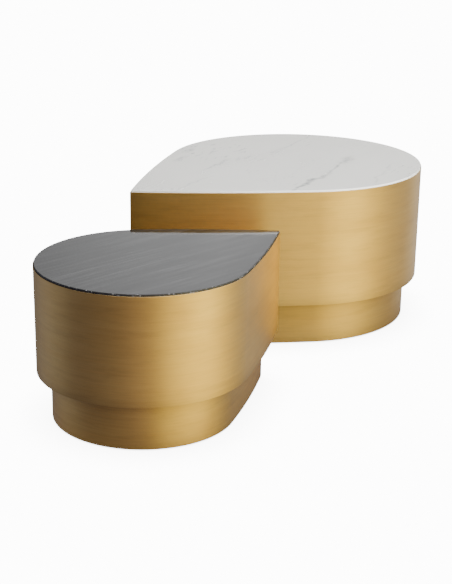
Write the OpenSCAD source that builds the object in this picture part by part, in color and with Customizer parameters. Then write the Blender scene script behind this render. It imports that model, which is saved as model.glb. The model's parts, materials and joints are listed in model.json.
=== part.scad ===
// A pair of nesting drum tables: a large one with a white marble top and a small one with a
// black stone top. Each is a teardrop drum on a smaller plinth, clad in brushed brass sheet.
// Millimetres, +Z up. The origin is on the floor, under the middle of the pair's outline.

/* [Large table] */
// Radius of the drum's round end
large_r = 370; // [330:5:400]
// Distance from the round end's centre to the tip
large_tip = 605; // [560:5:640]
// Height of the stone's face above the floor
large_h = 450; // [400:5:500]
// Height of the drum's lower edge above the floor
large_drum_z = 124; // [110:1:140]

/* [Small table] */
// Radius of the drum's round end
small_r = 260; // [240:5:290]
// Distance from the round end's centre to the tip
small_tip = 425; // [400:5:450]
// Height of the stone's face above the floor
small_h = 390; // [350:5:430]
// Height of the drum's lower edge above the floor
small_drum_z = 122; // [110:1:140]

/* [Placing] */
// Gap between the two facing flanks, at its narrowest
flank_gap = 153; // [5:1:300]
// Direction of that gap, from the small table to the large one, in degrees from +X
nest_angle = 51; // [50:0.5:52]
// How far the small table is turned away from lying true to the large one, in degrees
small_turn = -2.4; // [-3:0.1:0]

/* [Outline] */
// Radius of the flanks, as a multiple of the round end's radius
flank_curve = 8.9; // [7:0.1:12]
// How far the plinth stands in from the drum
plinth_inset = 35; // [20:1:50]

/* [Sheet, stone and boards] */
// Thickness of the brass sheet
skin_t = 1.5; // [1:0.1:2]
// Thickness of the stone slab
stone_t = 20; // [18:1:25]
// How far the slab's face stands above the sheet's top edge
stone_proud = 5; // [1:0.5:8]
// Width of the eased edge round the slab's face
stone_arris = 1.2; // [0.5:0.1:2]
// Thickness of the deck, soffit, cap and base boards
board_t = 18; // [15:1:22]
// Thickness of the bent plywood lining
lining_t = 8; // [6:1:10]
// Thickness of the ribs
rib_t = 18; // [15:1:22]
// Height of the sheet's lower edge above the floor
foot_gap = 3; // [2:0.5:6]

/* [Hardware] */
// Radius of the joining bolts
bolt_r = 4; // [3:0.5:4]
// Radius of the levelling feet's studs
stud_r = 5; // [4:0.5:5]
// Radius of the levelling feet's pads
pad_r = 20; // [16:1:22]
// Height of the levelling feet's pads
pad_h = 12; // [10:1:14]

/* [Hidden] */
LARGE = 0;
SMALL = 1;
SIDES = ["large_", "small_"];
NAMES = [
  "top", "top_pads", "deck", "drum_skin", "drum_lining", "drum_nose_post", "drum_long_rib",
  "drum_round_rib", "drum_tip_rib", "soffit_board", "soffit_trim", "plinth_skin", "plinth_lining",
  "plinth_cap", "plinth_long_rib", "plinth_cross_rib", "base_board", "base_screws",
  "joining_bolts", "joining_washers", "joining_nuts", "foot_nuts",
  "foot_tip", "foot_round", "foot_left", "foot_right"
];
$fn = 72;
ROUND_FN = 720;
FLANK_FN = 5760;
HEX_FN = 6;

// Bed of glue or sealant between two sheets or boards that are bonded
glue = 0.5;
R = [large_r, small_r];
TIP = [large_tip, small_tip];
FLANK_R = flank_curve * R;
TOP_Z = [large_h, small_h];
DRUM_Z = [large_drum_z, small_drum_z];

// Heights that repeat
skin_top = [for (h = TOP_Z) h - stone_proud];
pad_t = 2;
deck_top = [for (h = TOP_Z) h - stone_t - pad_t];
deck_bottom = [for (z = deck_top) z - board_t];
trim_lip = 2;
trim_t = 1;
trim_bottom = [for (z = DRUM_Z) z + trim_lip];
soffit_bottom = [for (z = trim_bottom) z + trim_t];
soffit_top = [for (z = soffit_bottom) z + board_t];
cap_bottom = [for (z = trim_bottom) z - board_t];
base_bottom = pad_h;
base_top = base_bottom + board_t;

// Insets from the drum's outer face, and the same for the plinth
in_skin = skin_t + glue;
in_lining = in_skin + lining_t + glue;
plinth_in_skin = plinth_inset + in_skin;
plinth_in_lining = plinth_inset + in_lining;

// Places along the table's own axis, as multiples of the round end's radius
round_rib_at = -0.3;
tip_rib_at = 0.55;
cross_rib_at = 0.4;
post_l = 70;
plinth_rib_from = -0.52;
plinth_rib_to = 0.95;
bolt_at = [[-0.5, 0.4], [-0.5, -0.4], [0.2, 0.5], [0.2, -0.5], [0.8, 0.16], [0.8, -0.16]];
screw_at = [[-0.3, 0], [0.1, 0], [0.7, 0], [0.4, 0.33], [0.4, -0.33]];
stone_pad_at = [[-0.7, 0], [-0.1, 0.65], [-0.1, -0.65], [0.55, 0.42], [0.55, -0.42], [1.1, 0], [0.2, 0]];
foot_tip_at = [1.12, 0];
foot_round_at = [-0.72, 0];
foot_left_at = [0, 0.7];
foot_right_at = [0, -0.7];
feet_at = [foot_tip_at, foot_round_at, foot_left_at, foot_right_at];

// Hardware sizes that follow from the driving ones
run_fit = 0.05;
washer_t = 1.6;
washer_r = 2.1 * bolt_r;
bolt_head_h = 5.3;
bolt_head_r = 1.85 * bolt_r;
bolt_hole_r = bolt_r + 0.5;
nut_flange_t = 1.5;
bolt_nut_l = 11;
bolt_nut_r = bolt_r + 1;
foot_nut_l = 12;
foot_nut_r = stud_r + 1;
foot_stud_l = 40;
stone_pad_r = 10;
screw_r = 2.5;
screw_l = 42;
screw_head_r = 5;
screw_head_h = 3;
slot_fit = 0.3;

// Centre of a flank's arc, for a table whose tip points along +X
function arc_x(t) = (pow(TIP[t], 2) - 2 * FLANK_R[t] * R[t] + pow(R[t], 2)) / (2 * TIP[t]);
function arc_y(t) = sqrt(pow(FLANK_R[t] - R[t], 2) - pow(arc_x(t), 2));
// Direction from the round end's centre to where the flank begins
function join_angle(t) = atan2(arc_y(t), -arc_x(t));
// Where an outline drawn g inside the drum's outer face comes to its tip
function tip_x(t, g) = arc_x(t) + sqrt(pow(FLANK_R[t] - g, 2) - pow(arc_y(t), 2));
function turned(p, a) = [p[0] * cos(a) - p[1] * sin(a), p[0] * sin(a) + p[1] * cos(a)];

// From the small table's centre to the large one's: the two facing flank arcs lie flank_gap apart
small_arc = turned([arc_x(SMALL), -arc_y(SMALL)], small_turn);
large_arc = turned([arc_x(LARGE), -arc_y(LARGE)], 180);
arcs_apart = FLANK_R[LARGE] + FLANK_R[SMALL] + flank_gap;
apart = small_arc + arcs_apart * [cos(nest_angle), sin(nest_angle)] - large_arc;
pair_l = small_r + apart[0] + large_r;
pair_w = small_r + apart[1] + large_r;
PLACE = [
  [pair_l / 2 - large_r, pair_w / 2 - large_r],
  [small_r - pair_l / 2, small_r - pair_w / 2]
];
TURN = [180, small_turn];

module placed(t) {
  translate([PLACE[t][0], PLACE[t][1], 0]) rotate([0, 0, TURN[t]]) children();
}

// The wedge between the two lines on which the round end turns into the flanks
module flank_wedge(t) {
  reach = 2 * TIP[t];
  y = reach * tan(join_angle(t));
  polygon([[0, 0], [reach, -y], [reach, y]]);
}

// The teardrop, drawn g inside the drum's outer face
module outline(t, g) {
  circle(r = R[t] - g, $fn = ROUND_FN);
  intersection() {
    translate([arc_x(t), -arc_y(t)]) circle(r = FLANK_R[t] - g, $fn = FLANK_FN);
    translate([arc_x(t), arc_y(t)]) circle(r = FLANK_R[t] - g, $fn = FLANK_FN);
    flank_wedge(t);
  }
}

// A teardrop whose edge slopes in at 45 degrees, from g at the bottom to g + h at the top
module bevel(t, g, z, h) {
  flank_r = FLANK_R[t] - g;
  translate([0, 0, z]) {
    cylinder(r1 = R[t] - g, r2 = R[t] - g - h, h = h, $fn = ROUND_FN);
    intersection() {
      translate([arc_x(t), -arc_y(t), 0]) cylinder(r1 = flank_r, r2 = flank_r - h, h = h, $fn = FLANK_FN);
      translate([arc_x(t), arc_y(t), 0]) cylinder(r1 = flank_r, r2 = flank_r - h, h = h, $fn = FLANK_FN);
      linear_extrude(h) flank_wedge(t);
    }
  }
}

module slab(t, g, z, h) {
  translate([0, 0, z]) linear_extrude(h) outline(t, g);
}

module shell(t, g, thick, z, h) {
  translate([0, 0, z]) linear_extrude(h) difference() {
    outline(t, g);
    outline(t, g + thick);
  }
}

// A rib along the table's axis, or across it, that stops at the lining
module rib(t, g, from, size, z, h) {
  translate([0, 0, z]) linear_extrude(h) intersection() {
    outline(t, g);
    translate(from) square(size);
  }
}

module at_each(t, places, z) {
  for (p = places) translate([R[t] * p[0], R[t] * p[1], z]) children();
}

// Stone slab: a flat disc of stone with eased edges, bedded inside the sheet's top edge
module top(t) {
  color(t == LARGE ? "whitesmoke" : "dimgray") {
    slab(t, in_skin, TOP_Z[t] - stone_t, stone_t - stone_arris);
    bevel(t, in_skin, TOP_Z[t] - stone_arris, stone_arris);
  }
}

module top_pads(t) {
  color("gainsboro") at_each(t, stone_pad_at, deck_top[t]) cylinder(r = stone_pad_r, h = pad_t);
}

module deck(t) {
  color("peru") slab(t, in_skin, deck_bottom[t], board_t);
}

module drum_skin(t) {
  color("darkgoldenrod") shell(t, 0, skin_t, DRUM_Z[t], skin_top[t] - DRUM_Z[t]);
}

module drum_lining(t) {
  z = soffit_top[t] + glue;
  color("burlywood") shell(t, in_skin, lining_t, z, deck_bottom[t] - glue - z);
}

// The solid post that backs the sharp seam
module drum_nose_post(t) {
  g = in_lining;
  z = soffit_top[t];
  h = deck_bottom[t] - z;
  color("sienna") rib(t, g, [tip_x(t, g) - post_l, -R[t]], [post_l + 1, 2 * R[t]], z, h);
}

module drum_long_rib(t) {
  z = soffit_top[t];
  h = deck_bottom[t] - z;
  length = R[t] + tip_x(t, in_lining) - post_l;
  color("tan") difference() {
    rib(t, in_lining, [-R[t], -rib_t / 2], [length, rib_t], z, h);
    for (at = [round_rib_at, tip_rib_at])
      translate([R[t] * at - rib_t / 2 - slot_fit, -rib_t, z + h / 2])
        cube([rib_t + 2 * slot_fit, 2 * rib_t, h]);
  }
}

module drum_cross_rib(t, at) {
  z = soffit_top[t];
  h = deck_bottom[t] - z;
  color("tan") difference() {
    rib(t, in_lining, [R[t] * at - rib_t / 2, -R[t]], [rib_t, 2 * R[t]], z, h);
    translate([R[t] * at - rib_t, -rib_t / 2 - slot_fit, z - h / 2])
      cube([2 * rib_t, rib_t + 2 * slot_fit, h]);
  }
}

module soffit_board(t) {
  color("peru") difference() {
    slab(t, in_skin, soffit_bottom[t], board_t);
    at_each(t, bolt_at, soffit_bottom[t] - 1) cylinder(r = bolt_nut_r + run_fit, h = board_t + 2);
  }
}

// The sheet that covers the drum's underside
module soffit_trim(t) {
  color("goldenrod") difference() {
    slab(t, in_skin, trim_bottom[t], trim_t);
    at_each(t, bolt_at, trim_bottom[t] - 1) cylinder(r = bolt_hole_r, h = trim_t + 2);
  }
}

module plinth_skin(t) {
  color("darkgoldenrod") shell(t, plinth_inset, skin_t, foot_gap, trim_bottom[t] - foot_gap);
}

module plinth_lining(t) {
  z = base_top + glue;
  color("burlywood") shell(t, plinth_in_skin, lining_t, z, cap_bottom[t] - glue - z);
}

module plinth_cap(t) {
  color("peru") difference() {
    slab(t, plinth_in_skin, cap_bottom[t], board_t);
    at_each(t, bolt_at, cap_bottom[t] - 1) cylinder(r = bolt_hole_r, h = board_t + 2);
  }
}

module screw_pilots(t) {
  at_each(t, screw_at, base_bottom - 1) cylinder(r = screw_r + run_fit, h = screw_l + 2);
}

module plinth_long_rib(t) {
  h = cap_bottom[t] - base_top;
  from = R[t] * plinth_rib_from;
  to = R[t] * plinth_rib_to;
  color("tan") difference() {
    rib(t, plinth_in_lining, [from, -rib_t / 2], [to - from, rib_t], base_top, h);
    translate([R[t] * cross_rib_at - rib_t / 2 - slot_fit, -rib_t, base_top + h / 2])
      cube([rib_t + 2 * slot_fit, 2 * rib_t, h]);
    screw_pilots(t);
  }
}

module plinth_cross_rib(t) {
  h = cap_bottom[t] - base_top;
  color("tan") difference() {
    rib(t, plinth_in_lining, [R[t] * cross_rib_at - rib_t / 2, -R[t]], [rib_t, 2 * R[t]], base_top, h);
    translate([R[t] * cross_rib_at - rib_t, -rib_t / 2 - slot_fit, base_top - h / 2])
      cube([2 * rib_t, rib_t + 2 * slot_fit, h]);
    screw_pilots(t);
  }
}

module base_board(t) {
  color("peru") difference() {
    slab(t, plinth_in_skin, base_bottom, board_t);
    at_each(t, feet_at, base_bottom - 1) cylinder(r = foot_nut_r + run_fit, h = board_t + 2);
    screw_pilots(t);
    at_each(t, screw_at, base_bottom - 1) cylinder(r = screw_head_r + run_fit, h = screw_head_h + 1);
  }
}

// Pan-head screws that hold the base board to the plinth's ribs
module base_screws(t) {
  color("silver") at_each(t, screw_at, base_bottom) {
    cylinder(r = screw_r, h = screw_l);
    cylinder(r = screw_head_r, h = screw_head_h);
  }
}

// Bolts from inside the plinth, up through the cap and the soffit
module joining_bolts(t) {
  shank = washer_t + board_t + trim_t + board_t + nut_flange_t;
  color("silver") at_each(t, bolt_at, cap_bottom[t] - washer_t) {
    cylinder(r = bolt_r, h = shank);
    translate([0, 0, -bolt_head_h]) cylinder(r = bolt_head_r, h = bolt_head_h, $fn = HEX_FN);
  }
}

module joining_washers(t) {
  color("silver") at_each(t, bolt_at, cap_bottom[t] - washer_t) difference() {
    cylinder(r = washer_r, h = washer_t);
    translate([0, 0, -1]) cylinder(r = bolt_r + run_fit, h = washer_t + 2);
  }
}

// A flanged nut: the flange lies on the board and the barrel goes down into it
module tee_nut(barrel_r, barrel_l, hole_r) {
  difference() {
    union() {
      cylinder(r = 2 * barrel_r, h = nut_flange_t);
      translate([0, 0, -barrel_l]) cylinder(r = barrel_r, h = barrel_l);
    }
    translate([0, 0, -barrel_l - 1]) cylinder(r = hole_r, h = barrel_l + nut_flange_t + 2);
  }
}

module joining_nuts(t) {
  color("silver") at_each(t, bolt_at, soffit_top[t]) tee_nut(bolt_nut_r, bolt_nut_l, bolt_r + run_fit);
}

module foot_nuts(t) {
  color("silver") at_each(t, feet_at, base_top) tee_nut(foot_nut_r, foot_nut_l, stud_r + run_fit);
}

// Levelling foot: a stud with a moulded pad, screwed up until the pad meets the base board
module foot(t, at) {
  rim = 2;
  color("dimgray") at_each(t, [at], 0) {
    rotate_extrude() polygon([
      [0, 0], [pad_r - rim, 0], [pad_r, rim], [pad_r, pad_h - 2 * rim],
      [pad_r - 2 * rim, pad_h], [stud_r, pad_h], [stud_r, pad_h + foot_stud_l], [0, pad_h + foot_stud_l]
    ]);
  }
}

for (t = [LARGE, SMALL]) placed(t) {
  top(t);
  top_pads(t);
  deck(t);
  drum_skin(t);
  drum_lining(t);
  drum_nose_post(t);
  drum_long_rib(t);
  drum_cross_rib(t, round_rib_at);
  drum_cross_rib(t, tip_rib_at);
  soffit_board(t);
  soffit_trim(t);
  plinth_skin(t);
  plinth_lining(t);
  plinth_cap(t);
  plinth_long_rib(t);
  plinth_cross_rib(t);
  base_board(t);
  base_screws(t);
  joining_bolts(t);
  joining_washers(t);
  joining_nuts(t);
  foot_nuts(t);
  foot(t, foot_tip_at);
  foot(t, foot_round_at);
  foot(t, foot_left_at);
  foot(t, foot_right_at);
}
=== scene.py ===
"""Looks of the nesting drum tables: brushed brass drums on plinths, a marble and a black stone top."""

import json
import math

import bpy
from mathutils import Matrix, Vector


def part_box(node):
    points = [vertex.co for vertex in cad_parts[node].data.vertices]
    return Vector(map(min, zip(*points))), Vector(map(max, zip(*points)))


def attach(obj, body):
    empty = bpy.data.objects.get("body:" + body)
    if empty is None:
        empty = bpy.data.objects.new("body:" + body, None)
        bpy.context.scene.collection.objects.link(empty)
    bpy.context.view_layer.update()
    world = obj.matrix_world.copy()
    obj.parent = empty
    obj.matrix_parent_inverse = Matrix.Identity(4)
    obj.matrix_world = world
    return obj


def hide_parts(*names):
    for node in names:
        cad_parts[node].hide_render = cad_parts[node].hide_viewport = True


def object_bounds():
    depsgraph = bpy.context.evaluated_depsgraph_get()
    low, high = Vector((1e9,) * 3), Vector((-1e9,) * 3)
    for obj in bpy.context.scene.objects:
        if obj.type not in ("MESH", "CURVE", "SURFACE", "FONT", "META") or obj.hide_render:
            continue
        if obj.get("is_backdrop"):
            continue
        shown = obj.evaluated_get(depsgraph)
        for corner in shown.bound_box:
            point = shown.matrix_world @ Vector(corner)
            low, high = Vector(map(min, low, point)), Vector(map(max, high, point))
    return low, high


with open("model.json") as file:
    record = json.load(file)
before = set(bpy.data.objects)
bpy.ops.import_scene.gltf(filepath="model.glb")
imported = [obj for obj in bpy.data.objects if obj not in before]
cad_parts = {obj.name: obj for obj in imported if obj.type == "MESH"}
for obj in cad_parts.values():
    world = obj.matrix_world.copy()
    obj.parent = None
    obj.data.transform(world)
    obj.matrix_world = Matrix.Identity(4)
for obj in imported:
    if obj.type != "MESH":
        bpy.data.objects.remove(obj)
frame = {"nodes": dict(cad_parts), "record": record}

CAD_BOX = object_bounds()
MM = 0.001

# ---------------------------------------------------------------- shape of a table

FLANK_CURVE = 8.9  # radius of the flanks, as a multiple of the round end's
LARGE_TURN = math.pi  # directions in which the tips point
SMALL_TURN = math.radians(-2.4)
PLINTH_INSET = 35 * MM
SHEET = 1.5 * MM
BED = 0.5 * MM  # sealant between the sheet and the slab

# Where the plinths' and the small table's sheets begin in the brushed pattern, in metres, so that no two
# sheets repeat each other.
PLINTH_START = 3.7
SMALL_START = 11.0

# ---------------------------------------------------------------- material nodes


def new_material(name):
    """A material and its Principled shader."""
    material = bpy.data.materials.new(name)
    material.use_nodes = True
    return material, material.node_tree.nodes["Principled BSDF"]


def add(tree, kind, sockets=None, **settings):
    """A node of that kind. sockets holds values or other nodes' outputs, by input name or index."""
    node = tree.nodes.new(kind)
    for key, value in settings.items():
        setattr(node, key, value)
    for key, value in (sockets or {}).items():
        if isinstance(value, bpy.types.NodeSocket):
            tree.links.new(value, node.inputs[key])
        else:
            node.inputs[key].default_value = value
    return node


def math_of(tree, operation, a, b=0.0):
    """One step of arithmetic on numbers or on other nodes' outputs."""
    return add(tree, "ShaderNodeMath", {0: a, 1: b}, operation=operation).outputs[0]


def times(tree, a, b):
    return math_of(tree, "MULTIPLY", a, b)


def plus(tree, a, b):
    return math_of(tree, "ADD", a, b)


def off_half(tree, value):
    """How far value is from a half."""
    return math_of(tree, "ABSOLUTE", math_of(tree, "SUBTRACT", value, 0.5))


def noise_of(tree, at, scale, detail=3.0, rough=0.5, distortion=0.0):
    """A noise between 0 and 1, with scale cells to a unit of the coordinates."""
    sockets = {"Vector": at, "Scale": scale, "Detail": detail, "Roughness": rough, "Distortion": distortion}
    return add(tree, "ShaderNodeTexNoise", sockets).outputs["Fac"]


def stretch(tree, at, scale, turn=0.0):
    """Coordinates turned about Z and then scaled along each axis."""
    turned = add(tree, "ShaderNodeMapping", {"Vector": at, "Rotation": (0, 0, turn)}).outputs[0]
    return add(tree, "ShaderNodeVectorMath", {0: turned, 1: scale}, operation="MULTIPLY").outputs[0]


def remap(tree, value, low, high, to_low=0.0, to_high=1.0, smooth=False):
    """value from low to high carried over to the range from to_low to to_high, and held at its ends."""
    sockets = {"Value": value, "From Min": low, "From Max": high, "To Min": to_low, "To Max": to_high}
    kind = "SMOOTHSTEP" if smooth else "LINEAR"
    return add(tree, "ShaderNodeMapRange", sockets, interpolation_type=kind).outputs["Result"]


def mix_colour(tree, factor, a, b, blend="MIX"):
    """Colour a turning into colour b as factor goes from 0 to 1."""
    node = add(tree, "ShaderNodeMix", {0: factor}, data_type="RGBA", blend_type=blend)
    for socket, colour in ((node.inputs[6], a), (node.inputs[7], b)):
        if isinstance(colour, bpy.types.NodeSocket):
            tree.links.new(colour, socket)
        else:
            socket.default_value = (*colour, 1.0)
    return node.outputs[2]


def grey_of(tree, value):
    """A grey whose three channels are value."""
    return add(tree, "ShaderNodeCombineColor", {0: value, 1: value, 2: value}).outputs[0]


def bump_of(tree, height, distance, strength):
    sockets = {"Height": height, "Distance": distance, "Strength": strength}
    return add(tree, "ShaderNodeBump", sockets).outputs["Normal"]


def coordinates(tree, kind="Object"):
    return add(tree, "ShaderNodeTexCoord").outputs[kind]


def attribute_of(tree, name):
    """The mesh's own value of that name: wear and painted highlight on edges, or painted shade and
    darkening on a sheet.
    """
    return add(tree, "ShaderNodeAttribute", attribute_name=name).outputs["Fac"]


def wire(tree, shader, **links):
    """Links outputs to the shader's sockets; an underscore in a name stands for a space."""
    for key, output in links.items():
        tree.links.new(output, shader.inputs[key.replace("_", " ")])


# ---------------------------------------------------------------- materials


def brushed_brass(name, by_uv=True):
    """Lacquered antique brass, brushed along its first axis, with faint drawn-out patina.

    by_uv takes the sheet's own length and height as axes, and adds the wear and the painted shade and
    darkening of its mesh."""
    material, shader = new_material(name)
    tree = material.node_tree
    at = coordinates(tree, "UV" if by_uv else "Object")
    shader.inputs["Metallic"].default_value = 1.0
    shader.inputs["Anisotropic"].default_value = 0.8
    shader.inputs["Anisotropic Rotation"].default_value = 0.25
    shader.inputs["Coat Weight"].default_value = 0.35
    shader.inputs["Coat Roughness"].default_value = 0.28
    if by_uv:
        tangent = add(tree, "ShaderNodeTangent", direction_type="UV_MAP", uv_map="UVMap")
        wire(tree, shader, Tangent=tangent.outputs[0])

    hairline = noise_of(tree, stretch(tree, at, (14, 2600, 2600)), 1.0, 2.0)
    brush = noise_of(tree, stretch(tree, at, (6, 480, 480)), 1.0, 3.0, 0.65)
    streak = noise_of(tree, stretch(tree, at, (4.5, 110, 110)), 1.0, 4.0, 0.62, 0.3)
    cloud = noise_of(tree, stretch(tree, at, (5, 11, 11)), 1.0, 3.0, 0.5, 0.6)

    tarnish = plus(tree, times(tree, streak, 0.36), times(tree, cloud, 0.64))
    tarnish = remap(tree, tarnish, 0.34, 0.66)
    colour = mix_colour(tree, tarnish, (0.76, 0.505, 0.155), (0.70, 0.44, 0.125))
    smudge = noise_of(tree, stretch(tree, at, (7, 42, 42)), 1.0, 5.0, 0.66)
    smudge = remap(tree, smudge, 0.46, 0.72, smooth=True)
    colour = mix_colour(tree, times(tree, smudge, 0.27), colour, (0.46, 0.285, 0.085))
    grain = remap(tree, brush, 0.3, 0.7, 0.94, 1.06)
    colour = mix_colour(tree, 1.0, colour, grey_of(tree, grain), "MULTIPLY")
    if by_uv:
        worn_and_highlit = times(tree, attribute_of(tree, "wear_and_highlight"), remap(tree, cloud, 0.35, 0.65, 0.35, 0.9))
        colour = mix_colour(tree, worn_and_highlit, colour, (0.86, 0.66, 0.34))
        # painted shade under a plinth's overhang and above a drum's lower edge, and a darker band by the
        # tip's fold
        shade_and_darkening = times(tree, attribute_of(tree, "shade"), 0.9)
        colour = mix_colour(tree, shade_and_darkening, colour, (0.14, 0.08, 0.03))
    brushed = remap(tree, brush, 0.3, 0.7, -0.035, 0.035)
    rough = plus(tree, brushed, remap(tree, tarnish, 0, 1, 0.42, 0.46))
    height = plus(tree, times(tree, hairline, 0.6), times(tree, brush, 0.4))
    normal = bump_of(tree, height, 0.02 * MM, 0.6)
    wire(tree, shader, Base_Color=colour, Roughness=rough, Normal=normal)
    return material


def vein(tree, at, start, end, width, fade):
    """1 on the line from start to end, falling to 0 over width, with its ends faded out."""
    along = Vector(end) - Vector(start)
    turn = math.atan2(along.y, along.x)
    local = add(
        tree,
        "ShaderNodeMapping",
        {"Vector": at, "Location": (*start, 0), "Rotation": (0, 0, turn)},
        vector_type="TEXTURE",
    )
    parts = add(tree, "ShaderNodeSeparateXYZ", {0: local.outputs[0]})
    x, y = parts.outputs[0], parts.outputs[1]
    across = remap(tree, math_of(tree, "ABSOLUTE", y), 0.0, width, 1.0, 0.0, smooth=True)
    begins = remap(tree, x, -fade, fade, smooth=True)
    ends = remap(tree, x, along.length - fade, along.length + fade, 1.0, 0.0, smooth=True)
    return times(tree, across, times(tree, begins, ends))


def iso_lines(tree, value, width):
    """Thin lines where value passes a half."""
    return remap(tree, off_half(tree, value), 0.0, width, 1.0, 0.0, smooth=True)


VEIN_FADE = 0.035  # length over which a vein's ends fade out

# Start and end in the pair's own X and Y, width, and strength. Seven of the nine lie about where the
# photograph shows a vein or a blotch.
MARBLE_VEINS = (
    ((0.085, -0.150), (0.300, -0.070), 0.0095, 0.80),
    ((0.290, -0.072), (0.480, 0.035), 0.0085, 0.55),
    ((0.440, 0.005), (0.510, 0.050), 0.0240, 0.55),
    ((0.075, 0.188), (0.200, 0.250), 0.0075, 0.50),
    ((0.085, 0.333), (0.118, 0.350), 0.0150, 0.70),
    ((0.175, 0.398), (0.215, 0.420), 0.0130, 0.55),
    ((0.330, -0.225), (0.545, -0.090), 0.0065, 0.24),
    ((-0.130, 0.060), (0.030, 0.120), 0.0060, 0.24),
    ((0.360, 0.230), (0.640, 0.330), 0.0070, 0.30),
)


def drifted(tree, at, scale, reach):
    """Coordinates pushed about by up to half of reach, with scale swells to a metre."""
    drift = add(tree, "ShaderNodeTexNoise", {"Vector": at, "Scale": scale, "Detail": 4.0}).outputs["Color"]
    centred = add(
        tree, "ShaderNodeVectorMath", {0: drift, 1: (0.5, 0.5, 0.5)}, operation="SUBTRACT"
    ).outputs[0]
    offset = add(
        tree, "ShaderNodeVectorMath", {0: centred, "Scale": reach}, operation="SCALE"
    ).outputs[0]
    return add(tree, "ShaderNodeVectorMath", {0: at, 1: offset}, operation="ADD").outputs[0]


def white_marble(name):
    """Honed white marble with a few soft grey veins, polished on its edge and painted whiter there as a
    painted highlight.
    """
    material, shader = new_material(name)
    tree = material.node_tree
    at = coordinates(tree)
    warped = drifted(tree, at, 9.0, 0.075)

    veins = None
    for start, end, width, strength in MARBLE_VEINS:
        one = times(tree, vein(tree, warped, start, end, width, VEIN_FADE), strength)
        veins = one if veins is None else math_of(tree, "MAXIMUM", veins, one)
    broken = noise_of(tree, at, 42.0, 5.0, 0.65)
    veins = times(tree, veins, remap(tree, broken, 0.34, 0.6, 0.25, 1.0))

    drawn_out = stretch(tree, warped, (2.6, 7.5, 7.5), math.radians(-28))
    web = iso_lines(tree, noise_of(tree, drawn_out, 1.3, 5.0, 0.55, 0.4), 0.010)
    sparse = remap(tree, noise_of(tree, at, 5.5, 2.0), 0.5, 0.68, smooth=True)
    web = times(tree, times(tree, web, sparse), 0.22)
    slanted = stretch(tree, at, (24, 84, 84), math.radians(-24))
    flecks = remap(tree, noise_of(tree, slanted, 1.0, 4.0, 0.6), 0.58, 0.68)
    patches = remap(tree, noise_of(tree, at, 3.4, 2.0), 0.42, 0.56, smooth=True)
    flecks = times(tree, flecks, patches)
    cloud = remap(tree, noise_of(tree, drawn_out, 0.9, 5.0, 0.6, 0.8), 0.28, 0.75)
    grain = noise_of(tree, at, 900.0, 2.0)

    colour = mix_colour(tree, cloud, (0.91, 0.90, 0.84), (0.81, 0.805, 0.76))
    colour = mix_colour(tree, web, colour, (0.42, 0.43, 0.44))
    colour = mix_colour(tree, times(tree, flecks, 0.62), colour, (0.36, 0.37, 0.37))
    colour = mix_colour(tree, veins, colour, (0.20, 0.21, 0.22))
    # the slab's sides: polished, and painted whiter as a painted highlight
    polish_and_highlight = attribute_of(tree, "wear_and_highlight")
    colour = mix_colour(tree, polish_and_highlight, colour, (0.98, 0.98, 0.96))
    speck = remap(tree, grain, 0.3, 0.7, 0.985, 1.015)
    colour = mix_colour(tree, 1.0, colour, grey_of(tree, speck), "MULTIPLY")
    honed = remap(tree, cloud, 0, 1, 0.22, 0.30)
    rough = math_of(tree, "SUBTRACT", honed, times(tree, polish_and_highlight, 0.12))
    normal = bump_of(tree, grain, 0.01 * MM, 0.5)
    wire(tree, shader, Base_Color=colour, Roughness=rough, Normal=normal)
    return material


def black_stone(name):
    """Polished black stone, crossed by fine grey streaks, with a rough edge that has lighter specks here
    and there, painted glints.
    """
    material, shader = new_material(name)
    tree = material.node_tree
    at = coordinates(tree)
    shader.inputs["IOR"].default_value = 1.56

    turn = math.radians(-4)
    fine = noise_of(tree, stretch(tree, at, (3.5, 95, 95), turn), 1.0, 5.0, 0.7)
    broad = noise_of(tree, stretch(tree, at, (1.8, 17, 17), turn), 1.0, 4.0, 0.6, 0.3)
    crystals = noise_of(tree, at, 1500.0, 2.0)
    streaks = times(tree, remap(tree, fine, 0.46, 0.70), remap(tree, broad, 0.35, 0.62, 0.2, 1.0))
    colour = mix_colour(tree, remap(tree, broad, 0.3, 0.7), (0.008, 0.008, 0.009), (0.020, 0.020, 0.021))
    colour = mix_colour(tree, streaks, colour, (0.070, 0.070, 0.072))
    colour = mix_colour(tree, remap(tree, crystals, 0.66, 0.8, 0.0, 0.25), colour, (0.12, 0.12, 0.125))
    edge = attribute_of(tree, "wear_and_highlight")
    # lighter specks on the rough edge, painted glints
    chip_glints = remap(tree, noise_of(tree, at, 260.0, 4.0, 0.7), 0.60, 0.68)
    colour = mix_colour(tree, edge, colour, (0.006, 0.006, 0.007))
    colour = mix_colour(tree, times(tree, edge, chip_glints), colour, (0.55, 0.55, 0.56))
    polish = plus(tree, remap(tree, broad, 0.3, 0.7, 0.02, 0.05), remap(tree, fine, 0.4, 0.7, 0.0, 0.03))
    rough = plus(tree, polish, times(tree, edge, 0.5))
    normal = bump_of(tree, fine, 0.004 * MM, 0.4)
    wire(tree, shader, Base_Color=colour, Roughness=rough, Normal=normal)
    return material


def grainy(name, light, dark, grains, roughness, bump, metallic=0.0):
    """A mottled finish whose colour, gloss and relief follow one noise, with so many grains to a metre."""
    material, shader = new_material(name)
    tree = material.node_tree
    at = coordinates(tree)
    shader.inputs["Metallic"].default_value = metallic
    coarse = noise_of(tree, at, grains, 5.0, 0.62)
    fine = noise_of(tree, at, 7 * grains, 3.0)
    both = plus(tree, times(tree, coarse, 0.6), times(tree, fine, 0.4))
    colour = mix_colour(tree, remap(tree, both, 0.35, 0.65), dark, light)
    rough = remap(tree, both, 0.3, 0.7, *roughness)
    normal = bump_of(tree, both, bump, 0.6)
    wire(tree, shader, Base_Color=colour, Roughness=rough, Normal=normal)
    return material


PLY_PAIR = 2.8 * MM  # thickness of one pair of plies, a light and a dark one


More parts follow.
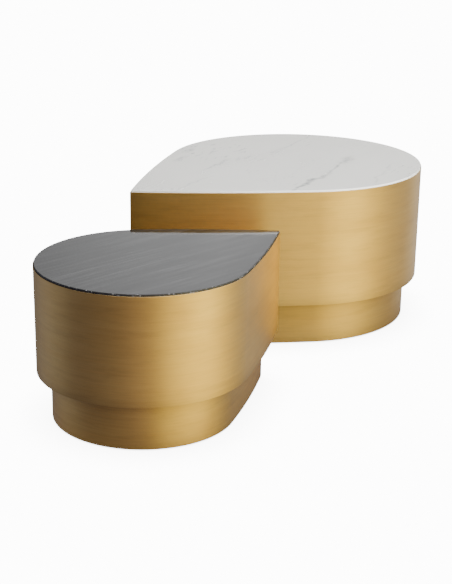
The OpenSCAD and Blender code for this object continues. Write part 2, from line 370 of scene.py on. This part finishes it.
def plywood(name):
    """Birch plywood: wood grain along the sheet, and its plies stacked through the thickness."""
    material, shader = new_material(name)
    tree = material.node_tree
    at = coordinates(tree)
    grain = noise_of(tree, stretch(tree, at, (6, 6, 90)), 1.0, 5.0, 0.6, 0.5)
    pores = noise_of(tree, stretch(tree, at, (30, 30, 700)), 1.0, 2.0)
    parts = add(tree, "ShaderNodeSeparateXYZ", {0: at})
    layer = math_of(tree, "FRACT", times(tree, parts.outputs[2], 1 / PLY_PAIR))
    ply = remap(tree, off_half(tree, layer), 0.18, 0.26)
    colour = mix_colour(tree, remap(tree, grain, 0.35, 0.65), (0.66, 0.50, 0.33), (0.76, 0.61, 0.42))
    colour = mix_colour(tree, times(tree, ply, 0.3), colour, (0.45, 0.31, 0.18))
    rough = remap(tree, grain, 0.3, 0.7, 0.62, 0.78)
    normal = bump_of(tree, plus(tree, grain, pores), 0.08 * MM, 0.5)
    wire(tree, shader, Base_Color=colour, Roughness=rough, Normal=normal)
    return material


GRAINY_FINISHES = {  # slot: name, light and dark colour, grains, roughness from and to, relief, metallic
    "board": ("raw_board", (0.56, 0.43, 0.29), (0.44, 0.33, 0.21), 260, (0.7, 0.85), 0.1 * MM, 0.0),
    "black_board": (
        "black_paint", (0.040, 0.040, 0.041), (0.022, 0.022, 0.023), 180, (0.5, 0.68), 0.1 * MM, 0.0
    ),
    "zinc": ("zinc_plate", (0.70, 0.71, 0.72), (0.52, 0.53, 0.55), 420, (0.26, 0.42), 0.03 * MM, 1.0),
    "clear_pad": ("silicone_pad", (0.80, 0.80, 0.78), (0.68, 0.68, 0.66), 90, (0.4, 0.55), 0.04 * MM, 0.0),
    "black_nylon": (
        "moulded_nylon", (0.045, 0.045, 0.047), (0.028, 0.028, 0.030), 700, (0.42, 0.58), 0.05 * MM, 0.0
    ),
}
SEALANT = ("sealant", (0.10, 0.09, 0.08), (0.06, 0.055, 0.05), 60, (0.45, 0.6), 0.05 * MM)


# ---------------------------------------------------------------- outlines and meshes


class Outline:
    """A teardrop: a round end, two flanks and a tip folded to a small radius.

    Each sample is (centre, radius, angle) in the table's own axes, so an inset is exact. lengths holds
    the distance of each sample from the tip, measured along the outline, and last its whole length."""

    ROUND_STEP = math.radians(1.5)  # the widest angles between two samples of an arc
    FLANK_STEP = math.radians(0.3)
    FOLD_STEPS = 5

    def __init__(self, table, inset, fold):
        radius, tip = table["radius"], table["tip"]
        flank = FLANK_CURVE * radius
        # The flanks' arcs are centred at (flank_x, flank_y) and (flank_x, -flank_y), so that they run
        # smoothly out of the round end and would meet at the tip. nose and join are the angles at which
        # an arc meets the fold and the round end.
        flank_x = (tip**2 - 2 * flank * radius + radius**2) / (2 * tip)
        flank_y = math.sqrt((flank - radius) ** 2 - flank_x**2)
        self.table = table
        fold_x = flank_x + math.sqrt((flank - inset - fold) ** 2 - flank_y**2)
        nose = math.atan2(flank_y, fold_x - flank_x)
        join = math.atan2(flank_y, -flank_x)
        turn = 2 * math.pi
        flank_steps = math.ceil((join - nose) / self.FLANK_STEP)
        round_steps = math.ceil((turn - 2 * join) / self.ROUND_STEP)
        round_r, flank_r = radius - inset, flank - inset
        self.samples = []
        self._arc((fold_x, 0), fold, 0, nose, self.FOLD_STEPS)
        self._arc((flank_x, -flank_y), flank_r, nose, join, flank_steps)
        self._arc((0, 0), round_r, join, turn - join, round_steps)
        self._arc((flank_x, flank_y), flank_r, turn - join, turn - nose, flank_steps)
        self._arc((fold_x, 0), fold, turn - nose, turn, self.FOLD_STEPS)
        self.lengths = [0.0]
        for i in range(len(self.samples)):
            step = self.point(i, 0) - self.point((i + 1) % len(self.samples), 0)
            self.lengths.append(self.lengths[-1] + step.length)

    def _arc(self, centre, radius, start, end, steps):
        """Adds an arc's samples, without its last, which is the next arc's first."""
        for i in range(steps):
            self.samples.append((centre, radius, start + (end - start) * i / steps))

    def point(self, i, inset):
        (x, y), radius, angle = self.samples[i]
        reach = radius - inset
        return self.table["place"] @ Vector((x + reach * math.cos(angle), y + reach * math.sin(angle), 0))

    def normal(self, i):
        angle = self.samples[i][2]
        return self.table["place"].to_3x3() @ Vector((math.cos(angle), math.sin(angle), 0))


FACING = 0.05  # share of a direction from which a surface counts as facing that way


def rounded(corners, radii, steps=4):
    """A profile's points (inset, z) and outward directions, with each corner turned on its radius.

    corners start at the outer face's top and run over the top, down the inside and back."""
    points = []
    count = len(corners)
    for k in range(count):
        here = Vector(corners[k])
        before = (Vector(corners[k - 1]) - here).normalized()
        after = (Vector(corners[(k + 1) % count]) - here).normalized()
        centre = here + (before + after) * radii[k]
        for s in range(steps + 1):
            angle = math.pi / 2 * s / steps
            out = -after * math.cos(angle) - before * math.sin(angle)
            points.append((centre + out * radii[k], out))
    return points


def mesh_object(name, vertices, normals, faces, uvs, wear_and_highlight, shade):
    """A smooth object with its own normals, and at each vertex its wear and painted highlight, and its
    painted shade and darkening.
    """
    mesh = bpy.data.meshes.new(name)
    mesh.from_pydata(vertices, [], faces)
    layer = mesh.uv_layers.new(name="UVMap")
    layer.data.foreach_set("uv", [value for face_uvs in uvs for uv in face_uvs for value in uv])
    for key, values in (("wear_and_highlight", wear_and_highlight), ("shade", shade)):
        attribute = mesh.attributes.new(key, "FLOAT", "POINT")
        attribute.data.foreach_set("value", values)
    mesh.polygons.foreach_set("use_smooth", [True] * len(faces))
    mesh.validate()
    mesh.normals_split_custom_set_from_vertices(normals)
    mesh.update()
    piece = bpy.data.objects.new(name, mesh)
    bpy.context.scene.collection.objects.link(piece)
    return piece


def on_corner(sideways, upright):
    """A sheet wears only where its surface faces both sideways and up or down."""
    return sideways and upright


def on_side(sideways, upright):
    """A slab is finished differently wherever its surface faces sideways, and there the marble carries a
    painted highlight.
    """
    return sideways


def no_shade(z, from_tip):
    return 0.0


def sweep(name, outline, profile, closed, u_start=0.0, worn_and_highlit=on_corner, shaded=no_shade):
    """A profile carried round an outline. An open profile is closed by flat faces below and above.

    Whether a point counts as a sheet's worn edge, or as a slab's side with its painted highlights, follows
    from whether its surface faces sideways and upright.
    shaded gives the depth of the painted shade and of the darker band by the tip's fold, at a height and a
    distance along the outline from its tip."""
    rings = len(outline.samples)
    rows = len(profile)
    vertices, normals, wear_and_highlight, shade = [], [], [], []
    for i in range(rings):
        outward = outline.normal(i)
        from_tip = min(outline.lengths[i], outline.lengths[rings] - outline.lengths[i])
        for (inset, z), (out_inset, out_z) in profile:
            point = outline.point(i, inset)
            point.z = z
            vertices.append(point)
            normals.append((outward * -out_inset + Vector((0, 0, out_z))).normalized())
            wear_and_highlight.append(1.0 if worn_and_highlit(abs(out_inset) > FACING, abs(out_z) > FACING) else 0.0)
            shade.append(shaded(z, from_tip))
    along = [0.0]
    for k in range(rows):
        along.append(along[-1] + (profile[(k + 1) % rows][0] - profile[k][0]).length)
    faces, uvs = [], []
    for i in range(rings):
        j = (i + 1) % rings
        for k in range(rows if closed else rows - 1):
            m = (k + 1) % rows
            faces.append((i * rows + k, j * rows + k, j * rows + m, i * rows + m))
            u0, u1 = u_start + outline.lengths[i], u_start + outline.lengths[i + 1]
            uvs.append(((u0, along[k]), (u1, along[k]), (u1, along[k + 1]), (u0, along[k + 1])))
    if not closed:
        for k, order in ((0, range(rings - 1, -1, -1)), (rows - 1, range(rings))):
            face = tuple(i * rows + k for i in order)
            faces.append(face)
            uvs.append(tuple((vertices[v].x, vertices[v].y) for v in face))
    return mesh_object(name, vertices, normals, faces, uvs, wear_and_highlight, shade)


# ---------------------------------------------------------------- pieces

EDGE = 0.45 * MM  # how far the sheet's cut edges are eased
FOLD = 2.0 * MM  # outer radius of the sheet's fold at the tip
INNER_FOLD = 1.6 * MM  # radius of the slab's and the bead's tip
ARRIS = 1.2 * MM  # radius of the slab's upper edge
ARRIS_STEPS = 6
SLAB_EASE = 0.6 * MM  # how far the slab's lower edge is bevelled
SLAB_ROW = 4 * MM  # depth of a row of points that keeps the upper edge's shading off the side
SEAL_DEPTH = 1.2 * MM  # how far the bead lies below the sheet's rim
SEAL_HEIGHT = 4 * MM
SEAL_EASE = 0.1 * MM
EDGE_SHADE_RISE = 45 * MM  # height of the painted shade above a drum's lower edge
EDGE_SHADE_DEPTH = 0.30  # the painted shade's depth at that edge
FOLD_DARK_REACH = 110 * MM  # how far the darker band at the tip's fold runs along each flank
FOLD_DARKENING = 0.42  # how much darker the sheet is at the fold
UNDERCUT = 1.7  # how soon a plinth's painted shade under the drum's overhang thins out
# Shares of a sheet's height at which its wall has points, closer together where the painted shade changes.
WALL_ROWS = (0.02, 0.05, 0.09, 0.14, 0.2, 0.4, 0.55, 0.68, 0.78, 0.86, 0.92, 0.98)


def sheet_piece(name, table, inset, low, high, u_start, overhang=0.0):
    """A drum's or plinth's sheet: a closed band with eased edges.

    It is darker by the fold at the tip, and carries painted shade near a drum's lower edge and under the
    overhang on a plinth."""

    def shaded(z, from_tip):
        # a darker band by the tip's fold
        fold = FOLD_DARKENING * max(0.0, 1 - from_tip / FOLD_DARK_REACH) ** 2
        if overhang == 0:
            # painted shade above a drum's lower edge
            return fold + EDGE_SHADE_DEPTH * max(0.0, 1 - (z - low) / EDGE_SHADE_RISE) ** 2
        # painted shade under the drum's overhang on a plinth
        below = high - z
        return max(fold, (1 - below / math.hypot(below, overhang)) ** UNDERCUT)

    outline = Outline(table, inset, FOLD)
    corners = ((0, high), (SHEET, high), (SHEET, low), (0, low))
    profile = rounded(corners, (EDGE,) * 4)
    wall = [Vector((0, low + (high - low) * share)) for share in WALL_ROWS]
    profile += [(point, Vector((-1, 0))) for point in wall]
    return sweep(name, outline, profile, True, u_start, shaded=shaded)


def slab_piece(name, table, low, high):
    """A stone slab with a rounded upper edge."""
    outline = Outline(table, SHEET + BED, INNER_FOLD)
    down, sideways = Vector((0, -1)), Vector((-1, 0))
    profile = [
        (Vector((SLAB_EASE, low)), down),
        (Vector((0, low + SLAB_EASE)), sideways),
        (Vector((0, high - SLAB_ROW)), sideways),
    ]
    for s in range(ARRIS_STEPS + 1):
        angle = math.pi / 2 * s / ARRIS_STEPS
        out = Vector((-math.cos(angle), math.sin(angle)))
        profile.append((Vector((ARRIS, high - ARRIS)) + out * ARRIS, out))
    return sweep(name, outline, profile, False, worn_and_highlit=on_side)


def seal_piece(name, table, rim):
    """The bead of sealant between the sheet and the slab, just below the sheet's rim."""
    outline = Outline(table, SHEET, INNER_FOLD)
    high = rim - SEAL_DEPTH
    low = high - SEAL_HEIGHT
    corners = ((0, high), (BED, high), (BED, low), (0, low))
    return sweep(name, outline, rounded(corners, (SEAL_EASE,) * 4, 2), True)


def table_facts(side, turn):
    """A table's size and place, from its packed sheet."""
    low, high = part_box(f"{side}_drum_skin")
    radius = (high.y - low.y) / 2
    middle_y = (high.y + low.y) / 2
    if abs(turn) > math.pi / 2:
        centre = Vector((high.x - radius, middle_y, 0))
        tip = (centre.x - low.x) / abs(math.cos(turn))
    else:
        centre = Vector((low.x + radius, middle_y, 0))
        tip = (high.x - centre.x) / abs(math.cos(turn))
    place = Matrix.Translation(centre) @ Matrix.Rotation(turn, 4, "Z")
    return {"radius": radius, "tip": tip, "place": place}


def put(piece, body, slot, material, *stands_for):
    """Gives a piece its material and body, and hides the CAD nodes that it stands for. slot is not used."""
    piece.data.materials.append(material)
    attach(piece, body)
    if stands_for:
        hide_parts(*stands_for)


def build_table(side, turn, stone_slot, stone, brass, seal, u_start):
    """The pieces of one table that are looked at: its drum, plinth and slab, and the slab's sealant."""
    table = table_facts(side, turn)
    body = f"{side}_table"
    drum_low, drum_high = (corner.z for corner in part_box(f"{side}_drum_skin"))
    plinth_low, plinth_high = (corner.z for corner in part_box(f"{side}_plinth_skin"))
    slab_low, slab_high = (corner.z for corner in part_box(f"{side}_top"))
    drum = sheet_piece(f"{side}_drum_sheet", table, 0, drum_low, drum_high, u_start)
    plinth_start = u_start + PLINTH_START
    plinth = sheet_piece(
        f"{side}_plinth_sheet", table, PLINTH_INSET, plinth_low, plinth_high, plinth_start, PLINTH_INSET
    )
    slab = slab_piece(f"{side}_slab", table, slab_low, slab_high)
    bead = seal_piece(f"{side}_slab_seal", table, drum_high)
    put(drum, body, "brass", brass, f"{side}_drum_skin")
    put(plinth, body, "brass", brass, f"{side}_plinth_skin")
    put(slab, body, stone_slot, stone, f"{side}_top")
    put(bead, body, "clear_pad", seal)


def finish_cad_nodes(finishes):
    """Gives every CAD node that stays in view the material of its slot."""
    for row in frame["record"]["subparts"]:
        node = frame["nodes"].get(row["node"])
        finish = finishes.get(row["material_slot"])
        if node is None or finish is None:
            continue
        node.data.materials.clear()
        node.data.materials.append(finish)


# ---------------------------------------------------------------- studio

STUDIO_GLOW = 13.0  # bright enough for the floor and the dome to come out white
FLOOR_WIDTH = 50.0
DOME_RADIUS = 37.5
FLOOR_SHADE_WIDTH = 3.4
SKY_STRENGTH = 0.15
PANEL_FADE = 0.3  # share of a panel's width and height over which it fades out to each edge

WALL_SIDES = 120  # flat sides of the round wall
SURROUND_RADIUS = 2.8
SURROUND_LOW, SURROUND_HIGH = -2.4, 2.6  # what is below the floor stands for the light off the floor
SURROUND_PEAK = 4.2  # a little over the brightest channel below

# The wall's light on each side: azimuth in degrees from X, its red, green and blue beside the tables,
# and how bright it is above them, as a share of that. The values began as readings of the tones that the
# photograph's brass shows in each direction, and were then adjusted.
SURROUND = (
    (0, (0.90, 0.87, 0.80), 0.9),
    (12, (0.90, 0.87, 0.82), 0.9),
    (24, (0.57, 0.53, 0.46), 0.95),
    (36, (0.78, 0.77, 0.75), 1.0),
    (50, (1.00, 0.99, 0.98), 1.0),
    (57, (0.93, 0.92, 0.92), 1.0),
    (63, (0.78, 0.78, 0.79), 1.0),
    (80, (0.30, 0.29, 0.28), 1.0),
    (97, (0.22, 0.21, 0.22), 0.7),
    (113, (0.34, 0.36, 0.44), 0.6),
    (134, (0.41, 0.45, 0.63), 0.6),
    (150, (0.34, 0.38, 0.56), 0.6),
    (165, (0.21, 0.21, 0.33), 0.7),
    (182, (0.21, 0.20, 0.31), 0.7),
    (200, (0.31, 0.28, 0.35), 0.5),
    (213, (0.45, 0.39, 0.45), 0.3),
    (224, (0.68, 0.57, 0.56), 0.25),
    (231, (0.82, 0.68, 0.60), 0.3),
    (238, (1.11, 0.92, 0.60), 0.4),
    (244, (1.60, 1.38, 0.62), 0.42),
    (250, (2.24, 1.97, 0.75), 0.4),
    (258, (2.82, 2.47, 0.81), 0.36),
    (267, (3.44, 3.02, 0.97), 0.3),
    (277, (4.05, 3.65, 1.19), 0.27),
    (287, (4.09, 3.69, 1.23), 0.27),
    (297, (3.30, 2.91, 1.03), 0.33),
    (308, (2.24, 2.00, 0.76), 0.45),
    (318, (1.47, 1.33, 0.81), 0.6),
    (330, (0.98, 0.92, 0.73), 0.8),
    (345, (0.76, 0.71, 0.60), 0.9),
    (360, (0.90, 0.87, 0.80), 0.9),
)

QUAD = [(0, 1, 2, 3)]
QUAD_UV = (0, 0, 1, 0, 1, 1, 0, 1)


def quad_corners(width, height):
    """The corners of a flat rectangle about the origin."""
    x, y = width / 2, height / 2
    return [(-x, -y, 0), (x, -y, 0), (x, y, 0), (-x, y, 0)]


def emitter(name, build):
    """An emission material. build takes its tree and returns its colour and its strength."""
    material = bpy.data.materials.new(name)
    material.use_nodes = True
    tree = material.node_tree
    tree.nodes.clear()
    colour, strength = build(tree)
    light = add(tree, "ShaderNodeEmission", {"Color": colour, "Strength": strength})
    output = add(tree, "ShaderNodeOutputMaterial")
    tree.links.new(light.outputs[0], output.inputs["Surface"])
    return material


def staged(name, vertices, faces, uvs, material):
    """A mesh of the studio, which isn't part of the object and which the camera doesn't see."""
    mesh = bpy.data.meshes.new(name)
    mesh.from_pydata(vertices, [], faces)
    layer = mesh.uv_layers.new(name="UVMap")
    layer.data.foreach_set("uv", uvs)
    mesh.materials.append(material)
    panel = bpy.data.objects.new(name, mesh)
    bpy.context.scene.collection.objects.link(panel)
    panel.visible_camera = False
    panel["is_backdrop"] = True
    return panel


def soft_panel(name, centre, facing, width, height, radiance):
    """A soft light panel whose brightness falls off towards its edges."""

    def build(tree):
        parts = add(tree, "ShaderNodeSeparateXYZ", {0: coordinates(tree, "UV")})
        across, up = (
            remap(tree, off_half(tree, parts.outputs[axis]), 0.5 - PANEL_FADE, 0.5, 1.0, 0.0, smooth=True)
            for axis in (0, 1)
        )
        return (1.0, 1.0, 1.0, 1.0), times(tree, times(tree, across, up), radiance)

    turn = Vector(facing).to_track_quat("Z", "Y")
    vertices = [Vector(centre) + turn @ Vector(corner) for corner in quad_corners(width, height)]
    return staged(name, vertices, QUAD, QUAD_UV, emitter(name, build))


def light_wall(name):
    """A soft wall of light all round, which takes its colour and brightness on each side from SURROUND."""

    def build(tree):
        parts = add(tree, "ShaderNodeSeparateXYZ", {0: coordinates(tree, "UV")})
        ramp = add(tree, "ShaderNodeValToRGB", {0: parts.outputs[0]})
        stops = ramp.color_ramp.elements
        for azimuth, light, above in SURROUND:
            if azimuth == 0:
                stop = stops[0]
            elif azimuth == 360:
                stop = stops[-1]
            else:
                stop = stops.new(azimuth / 360)
            stop.color = (*(channel / SURROUND_PEAK for channel in light), above)
        height = parts.outputs[1]
        # The wall brightens up to the middle of its height and dims towards its upper edge. Its upper
        # half, above the tables, is grey and has each side's share of the light.
        rise = remap(tree, height, 0.0, 0.55, 0.45, 1.1)
        fade = remap(tree, height, 0.8, 1.0, 1.0, 0.3, smooth=True)
        strength = times(tree, times(tree, rise, fade), SURROUND_PEAK)
        below = remap(tree, height, 0.50, 0.64, 1.0, 0.0, smooth=True)
        share = math_of(tree, "MAXIMUM", below, ramp.outputs["Alpha"])
        grey = add(tree, "ShaderNodeRGBToBW", {0: ramp.outputs["Color"]}).outputs[0]
        colour = mix_colour(tree, below, grey_of(tree, grey), ramp.outputs["Color"])
        return colour, times(tree, strength, share)

    vertices, faces, uvs = [], [], []
    for i in range(WALL_SIDES + 1):
        angle = 2 * math.pi * i / WALL_SIDES
        x, y = SURROUND_RADIUS * math.cos(angle), SURROUND_RADIUS * math.sin(angle)
        vertices += [(x, y, SURROUND_LOW), (x, y, SURROUND_HIGH)]
    for i in range(WALL_SIDES):
        faces.append((2 * i, 2 * i + 1, 2 * i + 3, 2 * i + 2))
        u0, u1 = i / WALL_SIDES, (i + 1) / WALL_SIDES
        uvs += [u0, 0, u0, 1, u1, 1, u1, 0]
    return staged(name, vertices, faces, uvs, emitter(name, build))


def studio_white(name):
    """The white of the floor and the dome, with a faint shade on the floor right beside the tables."""

    def build(tree):
        near = add(tree, "ShaderNodeAmbientOcclusion", {"Distance": 0.12}, samples=8).outputs["AO"]
        at = coordinates(tree)
        away = add(tree, "ShaderNodeVectorMath", {0: at}, operation="LENGTH").outputs["Value"]
        shaded = remap(tree, near, 0.0, 1.0, 0.35, 1.0)
        share = math_of(tree, "MAXIMUM", shaded, remap(tree, away, 1.4, 1.8))
        return (1.0, 0.998, 0.992, 1.0), times(tree, share, STUDIO_GLOW)

    return emitter(name, build)


def white_surround():
    """A plain floor inside a plain dome, which only the camera sees. They light nothing."""
    white = studio_white("studio_white")
    floor_mesh = bpy.data.meshes.new("studio_floor")
    floor_mesh.from_pydata(quad_corners(FLOOR_WIDTH, FLOOR_WIDTH), [], QUAD)
    floor = bpy.data.objects.new("studio_floor", floor_mesh)
    bpy.context.scene.collection.objects.link(floor)
    bpy.ops.mesh.primitive_uv_sphere_add(segments=48, ring_count=24, radius=DOME_RADIUS)
    dome = bpy.context.object
    dome.name = "studio_dome"
    for surface in (floor, dome):
        surface.data.materials.append(white)
        surface.visible_diffuse = False
        surface.visible_glossy = False
        surface.visible_transmission = False
        surface.visible_shadow = False
        surface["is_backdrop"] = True


def floor_shade(name, width):
    """The tables' own shade on the floor, as their sides reflect it: dark close by, clear further out."""
    material = emitter(name, lambda tree: ((0.22, 0.20, 0.21, 1.0), 1.0))
    tree = material.node_tree
    near = add(tree, "ShaderNodeAmbientOcclusion", {"Distance": 0.45}, samples=6).outputs["AO"]
    shade = tree.nodes["Emission"].outputs[0]
    clear = add(tree, "ShaderNodeBsdfTransparent").outputs[0]
    share = remap(tree, near, 0.45, 0.95, smooth=True)
    mixed = add(tree, "ShaderNodeMixShader", {0: share, 1: shade, 2: clear}).outputs[0]
    tree.links.new(mixed, tree.nodes["Material Output"].inputs["Surface"])
    plane = staged(name, quad_corners(width, width), QUAD, QUAD_UV, material)
    plane.visible_diffuse = False
    plane.visible_shadow = False


def build_studio():
    """The white surround, the lights that the camera doesn't see, and a dim sky."""
    white_surround()
    light_wall("light_wall")
    floor_shade("floor_shade", FLOOR_SHADE_WIDTH)
    soft_panel(
        "panel_top", centre=(0.5, -0.8, 2.6), facing=(0, 0, -1), width=4.0, height=4.0, radiance=5.7
    )
    # The front panel stands low and isn't mirrored: it brightens the slabs' edges, and no brass.
    rim_light = soft_panel(
        "panel_front", centre=(-0.1, -2.0, 0.1), facing=(0.1, 1, 0.1), width=3.6, height=1.6, radiance=11.0
    )
    rim_light.visible_glossy = False

    world = bpy.context.scene.world or bpy.data.worlds.new("studio")
    bpy.context.scene.world = world
    world.use_nodes = True
    sky = world.node_tree.nodes["Background"]
    sky.inputs["Color"].default_value = (1.0, 0.99, 0.97, 1.0)
    sky.inputs["Strength"].default_value = SKY_STRENGTH


# ---------------------------------------------------------------- camera

CAMERA_AT = (-2.2308, -2.5522, 1.2950)
CAMERA_HEADING = math.radians(48.95)  # from X towards Y
CAMERA_DOWN = math.radians(18.71)  # below the level
CAMERA_ROLL = 0.0137  # in radians
SENSOR = 36.0  # mm, on the picture's longer side
LENS = 79.4527397  # mm


def build_camera():
    """The camera stands as the photograph's did, and has its angle of view."""
    data = bpy.data.cameras.new("camera")
    camera = bpy.data.objects.new("camera", data)
    bpy.context.scene.collection.objects.link(camera)
    data.sensor_width = SENSOR
    data.lens = LENS
    data.clip_start = 0.05
    data.clip_end = 100.0
    camera.location = CAMERA_AT
    pan = Matrix.Rotation(CAMERA_HEADING - math.pi / 2, 3, "Z")
    tilt = Matrix.Rotation(math.pi / 2 - CAMERA_DOWN, 3, "X")
    roll = Matrix.Rotation(CAMERA_ROLL, 3, "Z")
    camera.rotation_euler = (pan @ tilt @ roll).to_euler()
    bpy.context.scene.camera = camera


# ---------------------------------------------------------------- the scene

brass = brushed_brass("brushed_brass")
finishes = {slot: grainy(*facts) for slot, facts in GRAINY_FINISHES.items()}
finishes["brass"] = brushed_brass("brushed_brass_flat", by_uv=False)
finishes["plywood"] = plywood("birch_plywood")
finish_cad_nodes(finishes)
seal = grainy(*SEALANT)
build_table("large", LARGE_TURN, "white_marble", white_marble("white_marble"), brass, seal, 0.0)
build_table("small", SMALL_TURN, "black_stone", black_stone("black_stone"), brass, seal, SMALL_START)
build_studio()
build_camera()

sizes = {"cad_box": CAD_BOX, "visual_box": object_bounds()}
{key: [list(corner) for corner in box] for key, box in sizes.items()}
